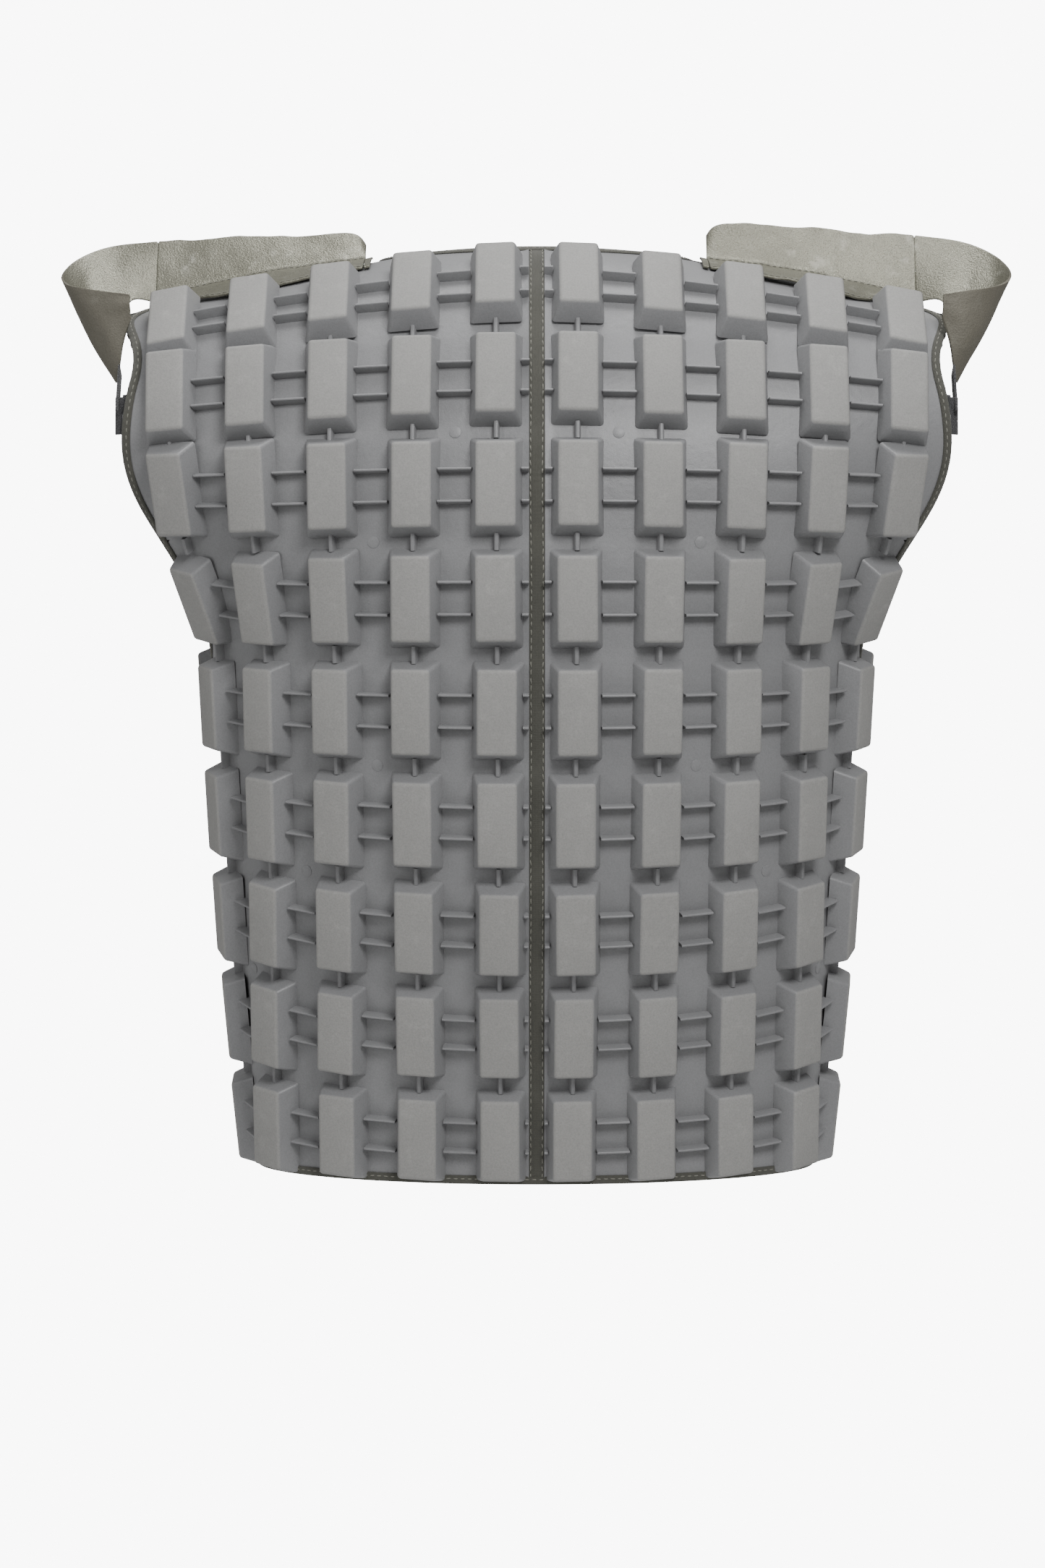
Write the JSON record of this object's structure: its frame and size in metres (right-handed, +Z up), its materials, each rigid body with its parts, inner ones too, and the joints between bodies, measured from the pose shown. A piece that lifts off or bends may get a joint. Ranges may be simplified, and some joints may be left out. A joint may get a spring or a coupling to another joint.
{
  "type": "armour vest",
  "caption": "Sleeveless rubber tread-block armour vest with silver shoulder caps that lift, bound edges and a snap placket down the front.",
  "frame": {"origin": "on the wearer's torso axis in the plane of the hem, where the torso comes out of the vest", "axes": "+Z up along the torso, -Y towards the wearer's back, +X towards the wearer's right"},
  "size_m": [0.6184, 0.2811, 0.618],
  "materials": {
    "tread": "matte grey moulded rubber, slightly glossier on the thin sheet between the blocks",
    "tape": "dark olive-grey leatherette tape with edge stitching",
    "lining": "black spacer mesh",
    "silver": "silver metallic leatherette with a fine sparkle",
    "hook": "black hook-and-loop tape",
    "snap": "satin gunmetal press stud"
  },
  "bodies": {
    "vest": {"back_panel_left": "tread", "front_panel_left": "tread", "back_panel_right": "tread", "front_panel_right": "tread", "side_seam_tape_left": "tape", "shoulder_seam_tape_left": "tape", "armhole_binding_left": "tape", "side_seam_tape_right": "tape", "shoulder_seam_tape_right": "tape", "armhole_binding_right": "tape", "centre_back_strip": "tape", "neck_binding": "tape", "hem_binding": "tape", "placket_anchor": "tape", "front_underlap": "tape", "front_lining_left": "lining", "front_lining_right": "lining", "back_lining": "lining", "cap_anchor_left": "silver", "cap_anchor_right": "silver", "armhole_tab_left": "hook", "armhole_tab_right": "hook", "snap_studs": "snap"},
    "cap_left": {"shoulder_cap_left": "silver", "cap_tab_left": "hook"},
    "cap_right": {"shoulder_cap_right": "silver", "cap_tab_right": "hook"},
    "placket": {"front_placket": "tape", "snap_caps": "snap"}
  },
  "joints": [
    {"name": "cap_left_lift", "type": "hinge", "parent": "vest", "child": "cap_left", "pos_m": [-0.1118, -0.051, 0.596], "axis": [0, 0.9809, 0.1944], "range_deg": [0, 50]},
    {"name": "cap_right_lift", "type": "hinge", "parent": "vest", "child": "cap_right", "pos_m": [0.1118, -0.051, 0.596], "axis": [0, -0.9809, -0.1944], "range_deg": [0, 50]},
    {"name": "placket_fold", "type": "hinge", "parent": "vest", "child": "placket", "pos_m": [0.0133, 0.0876, 0.25], "axis": [0, 0, -1], "range_deg": [0, 115]}
  ]
}
